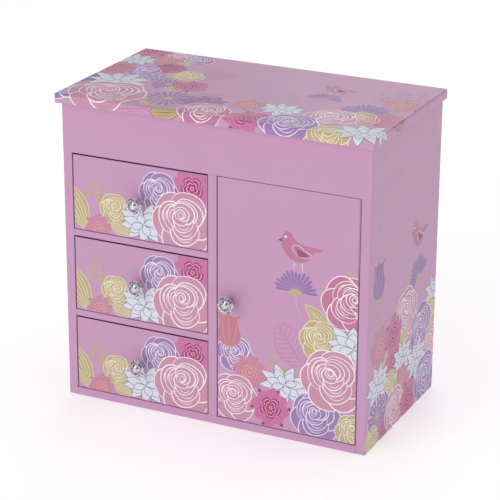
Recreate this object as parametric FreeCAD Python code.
"""Ballerina jewellery box: a paper-covered case with a lift-up lid, three drawers, a side-hung
door and a wind-up musical movement that turns a dancer on a spring.

Frame: millimetres, +Z up, +X to the right, the front faces -Y. The origin is the middle of the
case's footprint on the surface that it stands on. Everything is drawn with the lid, the door and
the drawers closed.
"""

import FreeCAD
import Part
import math
import os

V = FreeCAD.Vector
X_DIR, Y_DIR, Z_DIR = V(1, 0, 0), V(0, 1, 0), V(0, 0, 1)
os.makedirs("parts", exist_ok=True)

# ---- driving dimensions -------------------------------------------------------------------
CASE_W, CASE_D, CASE_H = 260.0, 143.0, 247.0      # case body, without lid
SIDE_T, BACK_T, BASE_T = 7.5, 5.0, 6.5            # side, back and base panels
HEADER_H, HEADER_T = 40.0, 7.0                    # front board of the top tray
PARTITION_T, SHELF_T, FLOOR_T = 7.4, 5.2, 4.0     # partition, drawer shelves, tray floor
BACK_WALL_T = 2.5                                 # board behind the drawers
DRAWERS = 3
FRONT_T = 7.0                                     # drawer fronts and the door
DRAWER_TOP_GAP, DRAWER_SIDE_GAP, DRAWER_BOTTOM_GAP = 1.4, 0.7, 0.4
FRONT_SETBACK = 0.4                               # fronts sit this far inside the case's face
DRAWER_WALL_T, DRAWER_BOTTOM_T, DRAWER_WALL_H = 4.0, 2.5, 50.0
DRAWER_REACH = 104.0                              # drawer box, front face to back face
DOOR_GAP = 0.6
LID_T, LID_SIDE, LID_FRONT, LID_BACK = 8.0, 4.0, 5.5, 0.0
MIRROR_T, MIRROR_W, MIRROR_D = 2.0, 216.0, 104.0
LID_EDGE_R, PANEL_EDGE_R = 2.0, 0.5

HINGE_R, HINGE_PIN_R, HINGE_LEAF_T = 1.8, 0.8, 0.8
HINGE_L, HINGE_X, HINGE_LEAF_H = 24.0, 88.0, 7.0
HINGE_STANDOFF = 0.3                              # knuckle clear of the back face
STOP_OUT, STOP_T, STOP_W, STOP_DROP = 4.0, 1.0, 6.0, 2.4    # lip that the open lid comes to rest on
STOP_RISE = 0.4
RUNNING = 0.05                                    # radial clearance of a turning fit
SIDE_PLAY = 0.2                                   # end clearance of a turning fit

DOOR_PIN_R, DOOR_PIN_L, DOOR_PIVOT = 1.2, 9.0, 2.4
KNOB_R, KNOB_L, FERRULE_L, KNOB_SIDES = 6.6, 9.0, 4.5, 16
DOOR_KNOB_INSET = 11.5

TRAY_DIVIDER_T, TRAY_DIVIDER_H, DIVIDER_Y = 3.0, 22.0, -11.5
ROLLS, ROLL_R = 4, 6.0
HOOKS, HOOK_R, HOOK_WIRE_R = 5, 5.0, 0.9
POCKET_H, POCKET_D, POCKET_T = 55.0, 26.0, 2.5
MAGNET_R, MAGNET_L, MAGNET_GAP = 4.0, 4.0, 0.3

# the musical movement stands behind the top drawer, on the back panel
MOVE_X = -63.1                                    # the cylinder's and the dancer's axis
AXIS_Y = 50.4
BARREL_Z = 160.0                                  # the mainspring's axis
PLATE_W, PLATE_Z0, PLATE_Z1, PLATE_T = 56.0, 146.0, 203.0, 1.6
ARBOR_R, BARREL_R = 1.5, 12.5
BARREL_CROWN_Y, BARREL_BACK_Y = 54.9, 64.4
CROWN_TEETH, PINION_TEETH, CROWN_MODULE = 36, 12, 0.6
CROWN_TOOTH_H, CROWN_FACE = 1.45, 2.4
SPUR_MODULE, DRUM_TEETH, WHEEL_PINION_TEETH = 0.5, 40, 8
FAN_MODULE, WHEEL_TEETH, FAN_TEETH = 0.4, 30, 8
MESH_PLAY = 0.12                                  # added to each pair's centre distance
PIVOT_R, SPINDLE_R = 0.8, 1.5
DRUM_R, DRUM_Z0, DRUM_Z1 = 6.5, 173.6, 193.4
COMB_TEETH, COMB_T, COMB_GAP = 18, 0.6, 0.95
PIN_R, PIN_H = 0.2, 0.6
KEY_WING_W, KEY_WING_H, KEY_WING_T = 24.0, 13.0, 1.8
PLUNGER_R, PLUNGER_Y = 1.2, 61.0

# the dancer lies forward under the closed lid, bent at the middle of her spring
BEND_Z = 228.0
SPRING_R, SPRING_WIRE_R, SPRING_PITCH = 2.6, 0.4, 1.75
TUTU_R, TUTU_AT, HEAD_AT = 13.6, 25.0, 40.5

# ---- worked-out places ----------------------------------------------------------------------
FRONT_Y, BACK_Y = -CASE_D / 2, CASE_D / 2
INNER_X = CASE_W / 2 - SIDE_T
TRAY_Z = CASE_H - HEADER_H                        # underside of the tray floor
FLOOR_Z = TRAY_Z + FLOOR_T                        # top of the tray floor
BACK_IN_Y = BACK_Y - BACK_T
OPENING_H = (TRAY_Z - BASE_T - (DRAWERS - 1) * SHELF_T) / DRAWERS
COLUMN_X0, COLUMN_X1 = -INNER_X, -PARTITION_T / 2
FRONT_FACE_Y = FRONT_Y + FRONT_SETBACK
DRAWER_BACK_Y = FRONT_FACE_Y + DRAWER_REACH
BACK_WALL_Y = DRAWER_BACK_Y + 0.6
HINGE_Y = BACK_Y + HINGE_STANDOFF + HINGE_R
DOOR_X0, DOOR_X1 = PARTITION_T / 2 + DOOR_GAP, INNER_X - DOOR_GAP
DOOR_Z0, DOOR_Z1 = BASE_T + DOOR_GAP, TRAY_Z - DOOR_GAP
DOOR_AXIS_X, DOOR_AXIS_Y = DOOR_X1 - DOOR_PIVOT, FRONT_FACE_Y + DOOR_PIVOT
CROWN_R = CROWN_MODULE * CROWN_TEETH / 2
WHEEL_X = MOVE_X + SPUR_MODULE * (DRUM_TEETH + WHEEL_PINION_TEETH) / 2 + MESH_PLAY
FAN_X = WHEEL_X + FAN_MODULE * (WHEEL_TEETH + FAN_TEETH) / 2 + MESH_PLAY
WHEEL_Z, GEAR_T = 194.4, 1.6
FAN_WHEEL_Z = WHEEL_Z + GEAR_T + 0.8              # the governor's wheel runs above the drive wheel
FRAME_ARM_Z, FRAME_ARM_T = FAN_WHEEL_Z + GEAR_T + 0.8, 2.4
LOW_ARM_Z, LOW_ARM_T = 181.0, 2.0                 # lower bearings of the governor
VANE_Z0, VANE_Z1, VANE_R = 185.4, 193.6, 5.6
STOP_Z = VANE_Z0 + 2.0                            # the stop arm while the lid is shut
PLUNGER_X = FAN_X + 8.5


# ---- shape helpers ------------------------------------------------------------------------------
def box(x0, x1, y0, y1, z0, z1):
    return Part.makeBox(x1 - x0, y1 - y0, z1 - z0, V(x0, y0, z0))


def rod(radius, start, end):
    way = end - start
    return Part.makeCylinder(radius, way.Length, start, way)


def cone(r0, r1, start, end):
    way = end - start
    return Part.makeCone(r0, r1, way.Length, start, way)


def ball(radius, at):
    return Part.makeSphere(radius, at)


def fuse(shapes):
    first, *rest = shapes
    return first.multiFuse(rest).removeSplitter() if rest else first


def rounded(shape, radius, wanted):
    """Rounds the edges for which wanted(edge) is true."""
    edges = [e for e in shape.Edges if wanted(e)]
    return shape.makeFillet(radius, edges)


def runs_along(edge, axis):
    way = edge.tangentAt(edge.FirstParameter)
    return abs(way.dot(axis)) > 0.99


def save(name, *solids):
    """One node: one solid, or several separate ones."""
    shape = solids[0] if len(solids) == 1 else Part.makeCompound(list(solids))
    shape.exportStep("parts/" + name + ".step")
    print("%-22s %2d solid(s) %10.1f mm3 valid %s" % (name, len(shape.Solids), shape.Volume, shape.isValid()))


def prism(points, height, base=V(0, 0, 0)):
    """A closed outline in the XY plane, raised along +Z."""
    wire = Part.makePolygon([V(*p, 0) for p in points] + [V(*points[0], 0)])
    solid = Part.Face(wire).extrude(V(0, 0, height))
    solid.translate(base)
    return solid


def gear(teeth, module, height, centre, z0, phase_deg, spare=0.3):
    """A small stamped gear about +Z with one tooth's middle at phase_deg. spare is the share of
    the pitch left as backlash between two such gears."""
    pitch_r = module * teeth / 2
    root, tip = pitch_r - 1.15 * module, pitch_r + 0.75 * module
    step = 2 * math.pi / teeth
    half = step * (0.5 - spare / 2) / 2
    points = []
    for i in range(teeth):
        a = math.radians(phase_deg) + i * step
        for r, share in ((root, 1.3), (pitch_r, 1.0), (tip, 0.45)):
            points.append((r, a - half * share))
        for r, share in ((tip, 0.45), (pitch_r, 1.0), (root, 1.3)):
            points.append((r, a + half * share))
    flat = [(r * math.cos(a), r * math.sin(a)) for r, a in points]
    return prism(flat, height, V(centre[0], centre[1], z0))


def coil(radius, wire_r, pitch, turns):
    """A helical spring about +Z that starts at z 0."""
    path = Part.makeHelix(pitch, pitch * turns, radius)
    ring = Part.Wire(Part.makeCircle(wire_r, V(radius, 0, 0), Y_DIR))
    return Part.Wire(path.Edges).makePipeShell([ring], True, True)


# ---- case -----------------------------------------------------------------------------------------
def side_panel(sign):
    """A side wall, notched at the top front for the header."""
    panel = box(INNER_X, CASE_W / 2, FRONT_Y, BACK_Y, 0, CASE_H)
    notch = box(INNER_X - 1, CASE_W / 2 + 1, FRONT_Y - 1, FRONT_Y + HEADER_T, TRAY_Z, CASE_H + 1)
    panel = panel.cut(notch)
    if sign < 0:
        panel = panel.mirror(V(0, 0, 0), X_DIR)
    return panel


def back_panel():
    panel = box(-INNER_X, INNER_X, BACK_IN_Y, BACK_Y, BASE_T, CASE_H)
    key_hole = rod(4.0, V(MOVE_X, BACK_IN_Y - 1, BARREL_Z), V(MOVE_X, BACK_Y + 1, BARREL_Z))
    return panel.cut(key_hole)


def header_panel():
    return box(-CASE_W / 2, CASE_W / 2, FRONT_Y, FRONT_Y + HEADER_T, TRAY_Z, CASE_H)


def tray_floor():
    floor = box(-INNER_X, INNER_X, FRONT_Y + HEADER_T, BACK_IN_Y, TRAY_Z, FLOOR_Z)
    spindle_hole = rod(4.0, V(MOVE_X, AXIS_Y, TRAY_Z - 1), V(MOVE_X, AXIS_Y, FLOOR_Z + 1))
    plunger_hole = rod(PLUNGER_R + 0.3, V(PLUNGER_X, PLUNGER_Y, TRAY_Z - 1),
                       V(PLUNGER_X, PLUNGER_Y, FLOOR_Z + 1))
    pivot_hole = rod(DOOR_PIN_R + RUNNING, V(DOOR_AXIS_X, DOOR_AXIS_Y, TRAY_Z - 1),
                     V(DOOR_AXIS_X, DOOR_AXIS_Y, FLOOR_Z + 1))
    return floor.cut(spindle_hole).cut(plunger_hole).cut(pivot_hole)


def pivot_bore(shape, z0, z1):
    return shape.cut(rod(DOOR_PIN_R + RUNNING, V(DOOR_AXIS_X, DOOR_AXIS_Y, z0),
                         V(DOOR_AXIS_X, DOOR_AXIS_Y, z1)))


def build_case():
    save("side_panel_right", side_panel(1))
    save("side_panel_left", side_panel(-1))
    save("back_panel", back_panel())
    base = box(-INNER_X, INNER_X, FRONT_Y, BACK_Y, 0, BASE_T)
    save("base_panel", pivot_bore(base, 1.0, BASE_T + 1))
    save("header_panel", pivot_bore(header_panel(), TRAY_Z - 1, TRAY_Z + 5.0))
    save("partition", box(-PARTITION_T / 2, PARTITION_T / 2, FRONT_Y, BACK_IN_Y, BASE_T, TRAY_Z))
    for i, name in enumerate(("drawer_shelf_lower", "drawer_shelf_upper")):
        z0 = BASE_T + (i + 1) * OPENING_H + i * SHELF_T
        save(name, box(COLUMN_X0, COLUMN_X1, FRONT_Y, BACK_WALL_Y, z0, z0 + SHELF_T))
    save("tray_floor", tray_floor())
    save("drawer_back_wall",
         box(COLUMN_X0, COLUMN_X1, BACK_WALL_Y, BACK_WALL_Y + BACK_WALL_T, BASE_T, TRAY_Z))


# ---- top tray ---------------------------------------------------------------------------------------
def build_tray():
    half = TRAY_DIVIDER_T / 2
    top = FLOOR_Z + TRAY_DIVIDER_H
    front, back = FRONT_Y + HEADER_T, BACK_IN_Y
    save("tray_divider_cross", box(-INNER_X, INNER_X, DIVIDER_Y - half, DIVIDER_Y + half, FLOOR_Z, top))
    save("tray_divider_long",
         box(-half, half, front, DIVIDER_Y - half, FLOOR_Z, top),
         box(-half, half, DIVIDER_Y + half, back, FLOOR_Z, top))
    pitch = (DIVIDER_Y - half - front) / ROLLS
    rolls = []
    for i in range(ROLLS):
        y = front + pitch * (i + 0.5)
        roll = rod(ROLL_R, V(half + 0.5, y, FLOOR_Z + 5.4), V(INNER_X - 0.5, y, FLOOR_Z + 5.4))
        rolls.append(roll.common(box(0, INNER_X, y - 10, y + 10, FLOOR_Z, top)))
    save("ring_rolls", *rolls)
    hole_r, z_top = 4.0, FLOOR_Z + 1.2
    bush = rod(hole_r, V(MOVE_X, AXIS_Y, TRAY_Z), V(MOVE_X, AXIS_Y, z_top))
    flange = rod(7.0, V(MOVE_X, AXIS_Y, FLOOR_Z), V(MOVE_X, AXIS_Y, z_top))
    bore = rod(SPINDLE_R + RUNNING, V(MOVE_X, AXIS_Y, TRAY_Z - 1), V(MOVE_X, AXIS_Y, z_top + 1))
    save("spindle_bush", bush.fuse(flange).removeSplitter().cut(bore))


# ---- drawers ---------------------------------------------------------------------------------------
def knob(x, y, z):
    """A faceted clear knob with its turned metal foot and stud; y is the face it stands on."""
    foot = cone(4.6, 2.4, V(x, y, z), V(x, y - FERRULE_L, z))
    foot = foot.fuse(rod(5.2, V(x, y, z), V(x, y - 0.9, z)))
    stud = rod(1.2, V(x, y + FRONT_T - 1.0, z), V(x, y - FERRULE_L - 3.0, z))
    foot = foot.fuse(stud).removeSplitter()
    profile = ((2.9, FERRULE_L), (5.6, FERRULE_L + 1.9), (KNOB_R, FERRULE_L + 4.2),
               (KNOB_R, FERRULE_L + 5.6), (4.4, FERRULE_L + KNOB_L))
    rings = []
    for r, out in profile:
        corners = [V(x + r * math.cos(2 * math.pi * k / KNOB_SIDES), y - out,
                     z + r * math.sin(2 * math.pi * k / KNOB_SIDES)) for k in range(KNOB_SIDES)]
        rings.append(Part.makePolygon(corners + corners[:1]))
    glass = Part.makeLoft(rings, True, True)
    glass = glass.cut(rod(1.2, V(x, y - FERRULE_L + 1, z), V(x, y - FERRULE_L - 3.0, z)))
    return foot, glass


def build_drawers():
    x0, x1 = COLUMN_X0 + DRAWER_SIDE_GAP, COLUMN_X1 - DRAWER_SIDE_GAP
    y0, y_in = FRONT_FACE_Y, FRONT_FACE_Y + FRONT_T
    names = ("bottom", "middle", "top")
    for i, name in enumerate(names[:DRAWERS]):
        z0 = BASE_T + i * (OPENING_H + SHELF_T) + DRAWER_BOTTOM_GAP
        z1 = z0 + OPENING_H - DRAWER_TOP_GAP - DRAWER_BOTTOM_GAP
        z_mid = (z0 + z1) / 2
        middle_x = (x0 + x1) / 2
        stud_hole = rod(1.2, V(middle_x, y0 - 1, z_mid), V(middle_x, y0 + FRONT_T - 1.0, z_mid))
        front = rounded(box(x0, x1, y0, y_in, z0, z1), PANEL_EDGE_R,
                        lambda e: abs(e.CenterOfMass.y - y0) < 1e-6)
        save(name + "_drawer_front", front.cut(stud_hole))
        wall_top = z0 + DRAWER_WALL_H
        inner = DRAWER_WALL_T
        save(name + "_drawer_walls",
             box(x0 + 0.6, x0 + 0.6 + inner, y_in, DRAWER_BACK_Y, z0, wall_top),
             box(x1 - 0.6 - inner, x1 - 0.6, y_in, DRAWER_BACK_Y, z0, wall_top),
             box(x0 + 0.6 + inner, x1 - 0.6 - inner, DRAWER_BACK_Y - inner, DRAWER_BACK_Y, z0, wall_top))
        save(name + "_drawer_bottom",
             box(x0 + 0.6 + inner, x1 - 0.6 - inner, y_in, DRAWER_BACK_Y - inner, z0 + 0.8,
                 z0 + 0.8 + DRAWER_BOTTOM_T))
        foot, glass = knob(middle_x, y0, z_mid)
        save(name + "_drawer_knob_foot", foot)
        save(name + "_drawer_knob", glass)


# ---- door and its compartment ---------------------------------------------------------------------
def build_door():
    y0, y_in = FRONT_FACE_Y, FRONT_FACE_Y + FRONT_T
    panel = box(DOOR_X0, DOOR_X1, y0, y_in, DOOR_Z0, DOOR_Z1)
    panel = rounded(panel, DOOR_PIVOT - 0.2, lambda e: runs_along(e, Z_DIR)
                    and abs(e.CenterOfMass.x - DOOR_X1) < 1e-6 and abs(e.CenterOfMass.y - y0) < 1e-6)
    panel = rounded(panel, PANEL_EDGE_R, lambda e: runs_along(e, Z_DIR)
                    and abs(e.CenterOfMass.x - DOOR_X0) < 1e-6 and abs(e.CenterOfMass.y - y0) < 1e-6)
    knob_x, mid_z = DOOR_X0 + DOOR_KNOB_INSET, (DOOR_Z0 + DOOR_Z1) / 2
    pins = []
    for z_edge, out in ((DOOR_Z0, -1), (DOOR_Z1, 1)):
        inner_end = V(DOOR_AXIS_X, DOOR_AXIS_Y, z_edge - out * (DOOR_PIN_L - 4.4))
        outer_end = V(DOOR_AXIS_X, DOOR_AXIS_Y, z_edge + out * 4.4)
        pins.append(rod(DOOR_PIN_R, inner_end, outer_end))
    for pin in pins:
        panel = panel.cut(pin)
    panel = panel.cut(rod(1.2, V(knob_x, y0 - 1, mid_z), V(knob_x, y0 + FRONT_T - 1.0, mid_z)))
    save("door_panel", panel)
    save("door_pivot_pins", *pins)
    foot, glass = knob(knob_x, y0, mid_z)
    save("door_knob_foot", foot)
    save("door_knob", glass)
    strike_x = DOOR_X0 + 5.4
    strike_z = mid_z + 22.0
    save("door_strike", rod(4.6, V(strike_x, y_in, strike_z), V(strike_x, y_in + 0.8, strike_z)))
    face_y = y_in + 0.8 + MAGNET_GAP
    magnet = rod(MAGNET_R, V(strike_x, face_y, strike_z), V(strike_x, face_y + MAGNET_L, strike_z))
    block = box(PARTITION_T / 2, PARTITION_T / 2 + 11.0, face_y, face_y + 9.0, strike_z - 11, strike_z + 11)
    save("door_magnet", magnet)
    save("door_stop_block", block.cut(magnet))


def necklace_hook(x, y):
    """A screw-in cup hook below the tray floor, its mouth towards the door."""
    shank_z = TRAY_Z - 8.0
    shank = rod(HOOK_WIRE_R, V(x, y, TRAY_Z), V(x, y, shank_z))
    plate = rod(3.2, V(x, y, TRAY_Z), V(x, y, TRAY_Z - 1.0))
    ring = Part.makeTorus(HOOK_R, HOOK_WIRE_R, V(x, y, shank_z - HOOK_R), X_DIR)
    mouth = box(x - 3, x + 3, y - HOOK_R - 2, y, shank_z - HOOK_R, shank_z + 3)
    bend = ring.cut(mouth)
    tip = ball(HOOK_WIRE_R * 1.25, V(x, y - HOOK_R, shank_z - HOOK_R))
    return fuse([shank, plate, bend, tip])


def build_necklace_compartment():
    x0, x1 = PARTITION_T / 2, INNER_X
    step = (x1 - x0) / (HOOKS + 1)
    save("necklace_hooks", *[necklace_hook(x0 + step * (i + 1), 12.0) for i in range(HOOKS)])
    y1 = BACK_IN_Y
    y0 = y1 - POCKET_D
    outer = box(x0 + 0.4, x1 - 0.4, y0, y1, BASE_T, BASE_T + POCKET_H)
    hollow = box(x0 + 0.4 + POCKET_T, x1 - 0.4 - POCKET_T, y0 + POCKET_T, y1 - POCKET_T,
                 BASE_T + POCKET_T, BASE_T + POCKET_H + 1)
    save("chain_pocket", outer.cut(hollow))


# ---- lid ---------------------------------------------------------------------------------------------
def hinge_leaf(x, out):
    """One leaf of a stop hinge on the back. out is 1 for the lid's leaf, with the middle knuckle,
    and -1 for the case's, with the two outer ones and the lip that stops the open lid."""
    third = HINGE_L / 3
    z_axis = CASE_H
    clear = HINGE_R + 0.3
    plate = box(x - HINGE_L / 2, x + HINGE_L / 2, BACK_Y, BACK_Y + HINGE_LEAF_T,
                z_axis + clear, z_axis + HINGE_LEAF_H)
    if out > 0:
        spans = [(x - third / 2 + SIDE_PLAY, x + third / 2 - SIDE_PLAY)]
        bore = HINGE_PIN_R + RUNNING
    else:
        spans = [(x - HINGE_L / 2, x - third / 2), (x + third / 2, x + HINGE_L / 2)]
        bore = HINGE_PIN_R
    shapes = [plate]
    if out < 0:
        lip_y = HINGE_Y + STOP_OUT
        web_z = z_axis + STOP_DROP
        shapes.append(box(x - STOP_W / 2, x + STOP_W / 2, BACK_Y, lip_y + STOP_T, web_z, web_z + STOP_T))
        shapes.append(box(x - STOP_W / 2, x + STOP_W / 2, lip_y, lip_y + STOP_T,
                          z_axis - STOP_RISE, web_z + STOP_T))
    for a, b in spans:
        tab_foot = 0.3 if out > 0 else 0.0
        shapes.append(box(a, b, BACK_Y, BACK_Y + HINGE_LEAF_T, z_axis + tab_foot, z_axis + clear))
        shapes.append(rod(HINGE_R, V(a, HINGE_Y, z_axis), V(b, HINGE_Y, z_axis)))
    leaf = fuse(shapes).cut(rod(bore, V(x - HINGE_L, HINGE_Y, z_axis), V(x + HINGE_L, HINGE_Y, z_axis)))
    for dx in (-HINGE_L / 3, HINGE_L / 3):
        leaf = leaf.cut(rod(0.9, V(x + dx, BACK_Y - 1, z_axis + 4.6), V(x + dx, BACK_Y + 2, z_axis + 4.6)))
    if out < 0:
        leaf = leaf.mirror(V(0, 0, z_axis), Z_DIR)
    return leaf


def build_lid():
    z0, z1 = CASE_H, CASE_H + LID_T
    half_w = CASE_W / 2 + LID_SIDE
    lid = box(-half_w, half_w, FRONT_Y - LID_FRONT, BACK_Y + LID_BACK, z0 + 0.3, z1)
    lid = rounded(lid, LID_EDGE_R, lambda e: runs_along(e, Z_DIR))
    lid = rounded(lid, LID_EDGE_R * 0.8, lambda e: abs(e.CenterOfMass.z - z1) < 1e-6)
    lid = rounded(lid, 0.8, lambda e: abs(e.CenterOfMass.z - z0 - 0.3) < 1e-6)
    save("lid_panel", lid)
    mirror_z0 = z0 + 0.3 - MIRROR_T
    mid_y = (FRONT_Y + HEADER_T + BACK_IN_Y) / 2
    glass = box(-MIRROR_W / 2, MIRROR_W / 2, mid_y - MIRROR_D / 2, mid_y + MIRROR_D / 2,
                mirror_z0, z0 + 0.3)
    save("lid_mirror", glass)
    rim = 7.0
    frame = box(-MIRROR_W / 2 - rim, MIRROR_W / 2 + rim, mid_y - MIRROR_D / 2 - rim,
                mid_y + MIRROR_D / 2 + rim, mirror_z0 - 0.4, z0 + 0.3)
    window = box(-MIRROR_W / 2 + 1.5, MIRROR_W / 2 - 1.5, mid_y - MIRROR_D / 2 + 1.5,
                 mid_y + MIRROR_D / 2 - 1.5, mirror_z0 - 1, z0 + 1)
    save("mirror_frame", frame.cut(window).cut(glass))
    places = (-HINGE_X, HINGE_X)
    save("lid_hinge_leaves", *[hinge_leaf(x, 1) for x in places])
    save("case_hinge_leaves", *[hinge_leaf(x, -1) for x in places])
    save("lid_hinge_pins", *[rod(HINGE_PIN_R, V(x - HINGE_L / 2, HINGE_Y, CASE_H),
                                 V(x + HINGE_L / 2, HINGE_Y, CASE_H)) for x in places])


# ---- musical movement ----------------------------------------------------------------------------------
def crown_tooth():
    """A tooth of the barrel's face gear at the top of the barrel, along +Z, pointing at -Y."""
    pitch = math.pi * CROWN_MODULE
    half_root, half_tip = 0.46 * pitch / 2, 0.17 * pitch / 2
    y_root, y_tip = BARREL_CROWN_Y + 0.05, BARREL_CROWN_Y - CROWN_TOOTH_H
    points = [V(-half_root, y_root, 0), V(-half_tip, y_tip, 0), V(half_tip, y_tip, 0), V(half_root, y_root, 0)]
    face = Part.Face(Part.makePolygon(points + points[:1]))
    tooth = face.extrude(V(0, 0, CROWN_FACE))
    tooth.translate(V(MOVE_X, 0, BARREL_Z + CROWN_R - CROWN_FACE / 2))
    return tooth


def mainspring_barrel():
    centre_front = V(MOVE_X, BARREL_CROWN_Y, BARREL_Z)
    drum = rod(BARREL_R, centre_front, V(MOVE_X, BARREL_BACK_Y - 0.8, BARREL_Z))
    hub = rod(4.0, centre_front, V(MOVE_X, BARREL_BACK_Y, BARREL_Z))
    teeth = []
    for i in range(CROWN_TEETH):
        tooth = crown_tooth()
        tooth.rotate(V(MOVE_X, 0, BARREL_Z), Y_DIR, 360.0 * i / CROWN_TEETH)
        teeth.append(tooth)
    barrel = fuse([drum, hub] + teeth)
    return barrel.cut(rod(ARBOR_R, V(MOVE_X, 40, BARREL_Z), V(MOVE_X, 80, BARREL_Z)))


def winding_key():
    """Arbor, hub and the two wings that the fingers hold."""
    arbor = rod(ARBOR_R, V(MOVE_X, BARREL_CROWN_Y - 0.4, BARREL_Z), V(MOVE_X, BACK_Y + 4, BARREL_Z))
    hub = rod(2.8, V(MOVE_X, BACK_Y + 1.5, BARREL_Z), V(MOVE_X, BACK_Y + 8, BARREL_Z))
    y0 = BACK_Y + 7.0
    wing = box(MOVE_X - KEY_WING_W / 2, MOVE_X + KEY_WING_W / 2, y0, y0 + KEY_WING_H,
               BARREL_Z - KEY_WING_T / 2, BARREL_Z + KEY_WING_T / 2)
    wing = rounded(wing, 5.5, lambda e: runs_along(e, Z_DIR) and e.CenterOfMass.y > y0 + 1)
    wing = rounded(wing, 3.0, lambda e: runs_along(e, Z_DIR) and abs(e.CenterOfMass.y - y0) < 1e-6)
    for side in (-1, 1):
        eye = rod(2.6, V(MOVE_X + side * 6.4, y0 + 6.6, BARREL_Z - 5), V(MOVE_X + side * 6.4, y0 + 6.6, BARREL_Z + 5))
        wing = wing.cut(eye)
    return fuse([arbor, hub, wing])


def music_cylinder():
    """The pinned cylinder on its arbor, with the pinion below, the drive wheel above and the
    spindle that carries the dancer's spring through the tray floor."""
    centre = (MOVE_X, AXIS_Y)
    at = lambda z: V(MOVE_X, AXIS_Y, z)
    pinion_z = BARREL_Z + CROWN_R - CROWN_FACE / 2 - 0.2
    half_tooth = 180.0 / PINION_TEETH
    shapes = [
        rod(PIVOT_R, at(BARREL_Z + 4.0), at(pinion_z + 0.5)),
        gear(PINION_TEETH, CROWN_MODULE, CROWN_FACE + 0.2, centre, pinion_z, 90 + half_tooth),
        rod(2.0, at(pinion_z + CROWN_FACE), at(DRUM_Z0)),
        rod(DRUM_R, at(DRUM_Z0), at(DRUM_Z1)),
        gear(DRUM_TEETH, SPUR_MODULE, GEAR_T, centre, WHEEL_Z, 0.0),
        rod(SPINDLE_R, at(DRUM_Z1), at(FLOOR_Z + 3.0)),
        rod(SPRING_R + SPRING_WIRE_R, at(FLOOR_Z + 1.6), at(FLOOR_Z + 3.4)),
    ]
    row_pitch = (DRUM_Z1 - DRUM_Z0 - 2.0) / COMB_TEETH
    for row in range(COMB_TEETH):
        z = DRUM_Z0 + 1.0 + row_pitch * (row + 0.5)
        for k in range(3):
            a = math.radians(row * 67.0 + k * 120.0 + (row % 4) * 13.0)
            way = V(math.cos(a), math.sin(a), 0)
            shapes.append(rod(PIN_R, at(z) + way * (DRUM_R - 0.5), at(z) + way * (DRUM_R + PIN_H)))
    return fuse(shapes)


def movement_frame():
    """The cast bedplate with its posts, bearing arms and the comb's seat."""
    x0, x1 = MOVE_X - PLATE_W / 2, MOVE_X + PLATE_W / 2
    plate_y = BACK_IN_Y - PLATE_T
    front = AXIS_Y - 2.0
    post_x = MOVE_X + 14.6
    shapes = [
        box(x0, x1, plate_y, BACK_IN_Y, PLATE_Z0, PLATE_Z1),
        box(post_x, post_x + 3.0, front, plate_y, BARREL_Z + 2.0, BARREL_Z + 8.0),
        box(MOVE_X - 2.4, post_x + 3.0, front, front + 4.0, BARREL_Z + 4.4, BARREL_Z + 8.0),
        box(MOVE_X - 3.0, FAN_X + 3.0, front, plate_y, FRAME_ARM_Z, FRAME_ARM_Z + FRAME_ARM_T),
        box(WHEEL_X - 2.4, FAN_X + 2.4, front, plate_y, LOW_ARM_Z, LOW_ARM_Z + LOW_ARM_T),
        box(MOVE_X - 27.0, MOVE_X - 17.6, AXIS_Y + COMB_T / 2, plate_y, DRUM_Z0, DRUM_Z1),
    ]
    frame = fuse(shapes)
    frame = frame.cut(rod(ARBOR_R + RUNNING, V(MOVE_X, plate_y - 1, BARREL_Z), V(MOVE_X, BACK_Y, BARREL_Z)))
    frame = frame.cut(rod(PIVOT_R + RUNNING, V(MOVE_X, AXIS_Y, BARREL_Z), V(MOVE_X, AXIS_Y, BARREL_Z + 9)))
    frame = frame.cut(rod(SPINDLE_R + RUNNING, V(MOVE_X, AXIS_Y, FRAME_ARM_Z - 1), V(MOVE_X, AXIS_Y, PLATE_Z1)))
    for x in (WHEEL_X, FAN_X):
        frame = frame.cut(rod(PIVOT_R + RUNNING, V(x, AXIS_Y, LOW_ARM_Z - 1), V(x, AXIS_Y, PLATE_Z1)))
    for at in comb_screw_places():
        frame = frame.cut(rod(1.0, at, at + V(0, 6.0, 0)))
    for at in movement_screw_places():
        frame = frame.cut(rod(1.3, at - V(0, 1, 0), at + V(0, 3, 0)))
    return frame


def comb_screw_places():
    x = MOVE_X - 23.0
    return [V(x, AXIS_Y + COMB_T / 2, z) for z in (DRUM_Z0 + 5.0, DRUM_Z1 - 5.0)]


def movement_screw_places():
    y = BACK_IN_Y - PLATE_T
    return [V(MOVE_X - 24.0, y, PLATE_Z0 + 5), V(MOVE_X + 24.0, y, PLATE_Z0 + 5), V(MOVE_X - 24.0, y, PLATE_Z1 - 4)]


def screw(at, way, head_r, head_h, shank_r, length):
    """A round-head screw; at is the middle of the seat and way points into the material."""
    head = rod(head_r, at, at - way * head_h)
    slot_side = X_DIR if abs(way.dot(Y_DIR)) > 0.9 else Y_DIR
    slot = Part.makeBox(head_r * 2.4, 0.4, head_h, V(-head_r * 1.2, -0.2, 0))
    slot.Placement = FreeCAD.Placement(at - way * head_h, FreeCAD.Rotation(Z_DIR, way * -1))
    slot.translate(way * -(head_h * 0.5))
    return head.fuse(rod(shank_r, at, at + way * length)).removeSplitter().cut(slot)


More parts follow.
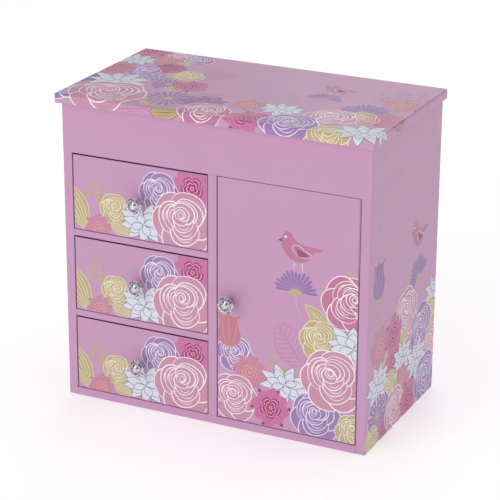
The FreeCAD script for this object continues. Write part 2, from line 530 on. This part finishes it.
def comb():
    """A steel comb with one tooth for each row of pins."""
    x_tip, x_root, x_end = MOVE_X - DRUM_R - COMB_GAP, MOVE_X - 17.0, MOVE_X - 27.0
    y0, y1 = AXIS_Y - COMB_T / 2, AXIS_Y + COMB_T / 2
    plate = box(x_end, x_root, y0, y1, DRUM_Z0, DRUM_Z1)
    row_pitch = (DRUM_Z1 - DRUM_Z0 - 2.0) / COMB_TEETH
    teeth = []
    for row in range(COMB_TEETH):
        z = DRUM_Z0 + 1.0 + row_pitch * (row + 0.5)
        teeth.append(box(x_root - 0.1, x_tip, y0, y1, z - 0.38 * row_pitch, z + 0.38 * row_pitch))
    shape = fuse([plate] + teeth)
    for at in comb_screw_places():
        shape = shape.cut(rod(1.05, at - V(0, 2, 0), at + V(0, 1, 0)))
    return shape


def governor_wheel():
    """The pinion driven by the cylinder's wheel and the wheel that drives the fan."""
    centre = (WHEEL_X, AXIS_Y)
    return fuse([
        rod(PIVOT_R, V(*centre, LOW_ARM_Z + 0.3), V(*centre, FRAME_ARM_Z + FRAME_ARM_T - 0.3)),
        gear(WHEEL_PINION_TEETH, SPUR_MODULE, GEAR_T + 0.6, centre, WHEEL_Z - 0.3, 180 - 180.0 / WHEEL_PINION_TEETH),
        gear(WHEEL_TEETH, FAN_MODULE, GEAR_T, centre, FAN_WHEEL_Z, 0.0),
    ])


def governor_fan():
    """The pinion and the two air vanes that hold the speed down."""
    centre = (FAN_X, AXIS_Y)
    return fuse([
        rod(PIVOT_R, V(*centre, LOW_ARM_Z + 0.3), V(*centre, FRAME_ARM_Z + FRAME_ARM_T - 0.3)),
        gear(FAN_TEETH, FAN_MODULE, GEAR_T + 0.6, centre, FAN_WHEEL_Z - 0.3, 180 - 180.0 / FAN_TEETH),
        box(FAN_X - VANE_R, FAN_X + VANE_R, AXIS_Y - 0.3, AXIS_Y + 0.3, VANE_Z0, VANE_Z1),
    ])


def stop_plunger():
    """A rod that the closed lid presses down, with the arm that halts the fan."""
    top = CASE_H - MIRROR_T - 1.4
    at = lambda z: V(PLUNGER_X, PLUNGER_Y, z)
    return fuse([
        rod(PLUNGER_R, at(STOP_Z), at(top)),
        ball(PLUNGER_R, at(top)),
        box(FAN_X - 0.8, PLUNGER_X + 0.6, PLUNGER_Y - 0.6, PLUNGER_Y + 0.6, STOP_Z, STOP_Z + 1.2),
        box(FAN_X - 0.8, FAN_X + 0.8, AXIS_Y + VANE_R + 0.6, PLUNGER_Y, STOP_Z, STOP_Z + 1.2),
    ])


def build_movement():
    save("movement_frame", movement_frame())
    save("mainspring_barrel", mainspring_barrel())
    save("winding_key", winding_key())
    save("music_cylinder", music_cylinder())
    save("music_comb", comb())
    save("comb_screws", *[screw(at - V(0, COMB_T, 0), Y_DIR, 1.9, 1.0, 1.0, 5.0) for at in comb_screw_places()])
    save("movement_screws", *[screw(at, Y_DIR, 2.4, 1.2, 1.3, 1.6) for at in movement_screw_places()])
    save("governor_wheel", governor_wheel())
    save("governor_fan", governor_fan())
    save("stop_plunger", stop_plunger())


# ---- dancer -------------------------------------------------------------------------------------------------
def laid_down(shape):
    """Turns a shape drawn upright about the bend into its place under the closed lid."""
    shape.rotate(V(0, 0, 0), X_DIR, 90)
    shape.translate(V(MOVE_X, AXIS_Y, BEND_Z))
    return shape


def dancer_figure():
    """A moulded figure on pointe, drawn upright with the bend of her spring at the origin."""
    toe, knee, hip = V(0, 0, 8.2), V(0, 0, 15.5), V(0, 0, 24.0)
    socket = rod(2.1, V(0, 0, 6.6), V(0, 0, 9.4))
    leg = fuse([cone(0.9, 1.3, toe, knee), ball(1.3, knee), cone(1.3, 2.0, knee, hip)])
    raised_knee, raised_toe = V(4.6, -1.0, 17.6), V(1.2, -1.0, 14.6)
    raised = fuse([cone(2.0, 1.3, V(0.9, 0, 24.0), raised_knee), ball(1.3, raised_knee),
                   cone(1.25, 0.8, raised_knee, raised_toe), ball(0.8, raised_toe)])
    bodice = fuse([cone(3.0, 2.1, V(0, 0, 23.0), V(0, 0, 28.5)), cone(2.1, 3.1, V(0, 0, 28.5), V(0, 0, 33.0)),
                   cone(3.1, 1.2, V(0, 0, 33.0), V(0, 0, 35.4))])
    neck = rod(1.1, V(0, 0, 35.0), V(0, 0, 38.0))
    head = ball(2.9, V(0, 0, HEAD_AT))
    bun = ball(1.5, V(0, 1.2, HEAD_AT + 3.2))
    shapes = [socket, leg, raised, bodice, neck, head, bun]
    for side in (-1, 1):
        shoulder, elbow = V(side * 3.0, 0, 33.6), V(side * 7.4, -1.2, 39.6)
        hand = V(side * 2.0, -1.6, 46.4)
        shapes += [ball(1.1, shoulder), cone(1.1, 0.95, shoulder, elbow), ball(0.95, elbow),
                   cone(0.95, 0.65, elbow, hand), ball(0.75, hand)]
    return fuse(shapes)


def tutu():
    """A flat round skirt, thicker at the waist, fitted around the hips."""
    skirt = fuse([cone(3.4, TUTU_R, V(0, 0, TUTU_AT + 1.6), V(0, 0, TUTU_AT - 0.6)),
                  rod(TUTU_R, V(0, 0, TUTU_AT - 0.6), V(0, 0, TUTU_AT - 1.8))])
    return skirt


def build_dancer():
    lower = coil(SPRING_R, SPRING_WIRE_R, SPRING_PITCH, 5.0)
    lower.translate(V(MOVE_X, AXIS_Y, FLOOR_Z + 3.4 + SPRING_WIRE_R + 0.02))
    save("dancer_spring_lower", lower)
    middle = Part.makeTorus(SPRING_R, SPRING_WIRE_R)
    save("dancer_spring_middle", laid_down(middle))
    upper = coil(SPRING_R, SPRING_WIRE_R, SPRING_PITCH, 2.6)
    upper.translate(V(0, 0, 1.6))
    save("dancer_spring_upper", laid_down(upper))
    figure, skirt = dancer_figure(), tutu()
    skirt = skirt.cut(figure)
    save("dancer_figure", laid_down(figure))
    save("dancer_tutu", laid_down(skirt))


build_case()
build_tray()
build_drawers()
build_door()
build_necklace_compartment()
build_lid()
build_movement()
build_dancer()
